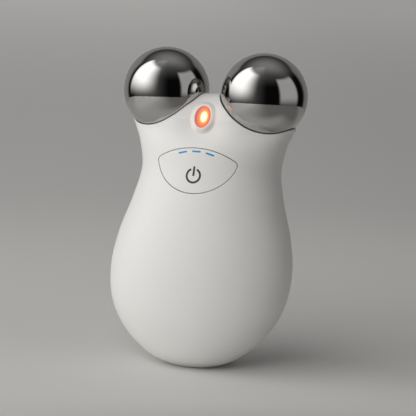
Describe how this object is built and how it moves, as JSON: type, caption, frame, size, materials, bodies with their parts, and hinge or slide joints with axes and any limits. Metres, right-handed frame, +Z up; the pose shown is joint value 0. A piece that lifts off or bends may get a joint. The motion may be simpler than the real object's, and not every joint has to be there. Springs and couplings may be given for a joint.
{
  "type": "facial toning device",
  "caption": "Hand-held facial toning device: pear-shaped white body with chrome ball electrodes in sockets, a small light between them and a shield-shaped power button.",
  "frame": {"origin": "middle of the flat base that the device stands on", "axes": "+Z up from the base to the ball electrodes, -Y towards the power button on the front, +X to the right for someone behind it looking towards the front (the right of the picture)"},
  "size_m": [0.0614, 0.0454, 0.101],
  "materials": {
    "shell": "fine satin, off-white",
    "seal": "soft grey silicone",
    "inner_plastic": "plain moulded",
    "symbol": "dark grey print",
    "indicator": "clear blue light guide",
    "screw": "zinc plated",
    "dark_plastic": "moulded black",
    "board": "green solder mask on glass laminate",
    "led": "clear LED body",
    "chassis": "plain moulded",
    "pad": "foam pad",
    "cell": "pouch foil",
    "red_lead": "insulated wire",
    "lens": "translucent amber",
    "amber_lead": "insulated wire",
    "chrome": "polished chrome plating",
    "brass": "plain",
    "black_lead": "insulated wire",
    "port_metal": "plated shell"
  },
  "bodies": {
    "body": {"front_shell": "shell", "rear_cover": "shell", "cover_seal": "seal", "cover_frame": "inner_plastic", "button_seal": "seal", "button_frame": "inner_plastic", "frame_screws": "screw", "switch_body": "dark_plastic", "main_board": "board", "board_screws": "screw", "controller_chip": "dark_plastic", "boost_coil": "dark_plastic", "beeper": "dark_plastic", "status_leds": "led", "chassis": "chassis", "chassis_screws": "screw", "battery_pad": "pad", "battery_cell": "cell", "battery_leads": "red_lead", "light_lens": "lens", "light_holder": "inner_plastic", "light_board": "board", "light_led": "led", "light_leads": "amber_lead", "ball_left": "chrome", "ball_right": "chrome", "ball_studs": "screw", "contact_rings": "brass", "ball_nuts": "brass", "electrode_leads": "black_lead", "charge_board": "board", "charge_board_screws": "screw", "charge_port": "port_metal", "charge_leads": "red_lead"},
    "button": {"power_button": "shell", "power_symbol": "symbol", "indicator_bars": "indicator"},
    "plunger": {"switch_plunger": "inner_plastic"}
  },
  "joints": [
    {"name": "button_press", "type": "slide", "parent": "body", "child": "button", "axis": [0, 0.9563, -0.2924], "range_m": [0, 0.0003], "stiffness_N_per_m": 3000, "springref_m": -0.0001},
    {"name": "plunger_press", "type": "slide", "parent": "body", "child": "plunger", "axis": [0, 0.9563, -0.2924], "range_m": [0, 0.0003]}
  ],
  "couplings": [
    {"joint": "plunger_press", "follows": "button_press", "ratio": 1}
  ]
}
